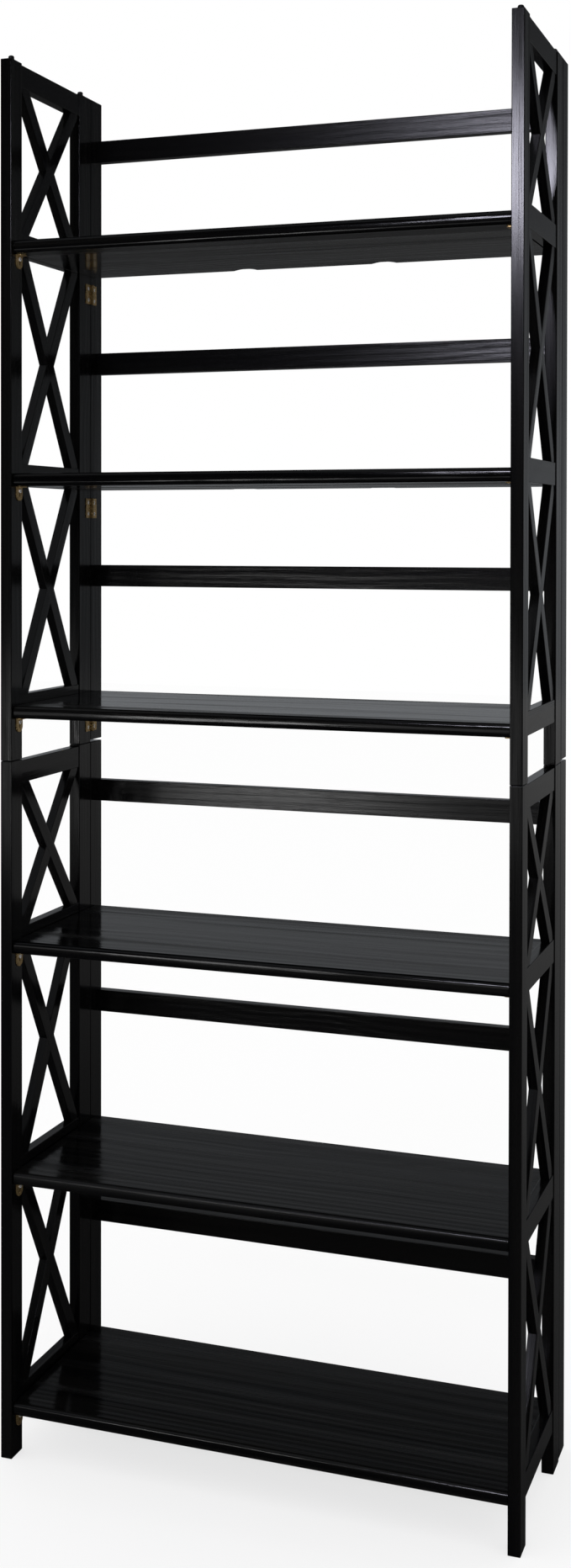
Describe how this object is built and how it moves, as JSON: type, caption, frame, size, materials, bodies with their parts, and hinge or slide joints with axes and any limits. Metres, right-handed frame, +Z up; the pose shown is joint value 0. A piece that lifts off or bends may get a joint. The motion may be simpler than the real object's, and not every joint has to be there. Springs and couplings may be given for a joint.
{
  "type": "folding bookcase",
  "caption": "Stackable folding bookcase with X-braced side frames, fold-up shelves, back rails and brass hinges.",
  "frame": {"origin": "on the floor, under the middle of the bookcase's width and depth", "axes": "+Z up, -Y towards the front, where the shelves have their round edge, +X to the right seen from the front"},
  "size_m": [0.698, 0.292, 1.8673],
  "materials": {
    "black_wood": "black satin paint over fine-grained wood",
    "plain_wood": "bare beech",
    "brass": "polished brass plate",
    "bright_steel": "zinc-plated steel",
    "black_metal": "black paint on metal"
  },
  "bodies": {
    "lower_frame": {"lower_left_front_post": "black_wood", "lower_right_front_post": "black_wood", "lower_left_rear_post": "black_wood", "lower_right_rear_post": "black_wood", "lower_left_stile": "black_wood", "lower_right_stile": "black_wood", "lower_left_top_rail": "black_wood", "lower_right_top_rail": "black_wood", "lower_left_shelf_rails": "black_wood", "lower_right_shelf_rails": "black_wood", "lower_left_rising_slats": "black_wood", "lower_right_rising_slats": "black_wood", "lower_left_falling_slats": "black_wood", "lower_right_falling_slats": "black_wood", "lower_bottom_back_rail": "black_wood", "lower_middle_back_rail": "black_wood", "lower_top_back_rail": "black_wood", "lower_hinge_post_leaves": "brass", "lower_hinge_stile_leaves": "brass", "lower_hinge_pins": "brass", "lower_hinge_screws": "bright_steel", "lower_shelf_supports": "brass", "lower_support_screws": "bright_steel", "lower_shelf_pivot_pins": "bright_steel", "lower_stacking_pins": "black_metal", "lower_dowels": "plain_wood"},
    "lower_bottom_shelf_body": {"lower_bottom_shelf": "black_wood"},
    "lower_middle_shelf_body": {"lower_middle_shelf": "black_wood"},
    "lower_top_shelf_body": {"lower_top_shelf": "black_wood"},
    "upper_frame": {"upper_left_front_post": "black_wood", "upper_right_front_post": "black_wood", "upper_left_rear_post": "black_wood", "upper_right_rear_post": "black_wood", "upper_left_stile": "black_wood", "upper_right_stile": "black_wood", "upper_left_top_rail": "black_wood", "upper_right_top_rail": "black_wood", "upper_left_shelf_rails": "black_wood", "upper_right_shelf_rails": "black_wood", "upper_left_rising_slats": "black_wood", "upper_right_rising_slats": "black_wood", "upper_left_falling_slats": "black_wood", "upper_right_falling_slats": "black_wood", "upper_bottom_back_rail": "black_wood", "upper_middle_back_rail": "black_wood", "upper_top_back_rail": "black_wood", "upper_hinge_post_leaves": "brass", "upper_hinge_stile_leaves": "brass", "upper_hinge_pins": "brass", "upper_hinge_screws": "bright_steel", "upper_shelf_supports": "brass", "upper_support_screws": "bright_steel", "upper_shelf_pivot_pins": "bright_steel", "upper_stacking_pins": "black_metal", "upper_dowels": "plain_wood"},
    "upper_bottom_shelf_body": {"upper_bottom_shelf": "black_wood"},
    "upper_middle_shelf_body": {"upper_middle_shelf": "black_wood"},
    "upper_top_shelf_body": {"upper_top_shelf": "black_wood"}
  },
  "joints": [
    {"name": "lower_bottom_shelf_fold", "type": "hinge", "parent": "lower_frame", "child": "lower_bottom_shelf_body", "pos_m": [0, 0.1165, 0.065], "axis": [-1, 0, 0], "range_deg": [0, 91.3]},
    {"name": "lower_middle_shelf_fold", "type": "hinge", "parent": "lower_frame", "child": "lower_middle_shelf_body", "pos_m": [0, 0.1165, 0.3735], "axis": [-1, 0, 0], "range_deg": [0, 91.3]},
    {"name": "lower_top_shelf_fold", "type": "hinge", "parent": "lower_frame", "child": "lower_top_shelf_body", "pos_m": [0, 0.1165, 0.682], "axis": [-1, 0, 0], "range_deg": [0, 91.3]},
    {"name": "upper_bottom_shelf_fold", "type": "hinge", "parent": "upper_frame", "child": "upper_bottom_shelf_body", "pos_m": [0, 0.1165, 0.9953], "axis": [-1, 0, 0], "range_deg": [0, 91.3]},
    {"name": "upper_middle_shelf_fold", "type": "hinge", "parent": "upper_frame", "child": "upper_middle_shelf_body", "pos_m": [0, 0.1165, 1.3038], "axis": [-1, 0, 0], "range_deg": [0, 91.3]},
    {"name": "upper_top_shelf_fold", "type": "hinge", "parent": "upper_frame", "child": "upper_top_shelf_body", "pos_m": [0, 0.1165, 1.6123], "axis": [-1, 0, 0], "range_deg": [0, 91.3]},
    {"name": "upper_unit_lift", "type": "slide", "parent": "lower_frame", "child": "upper_frame", "axis": [0, 0, 1], "range_m": [0, 0.05]}
  ]
}
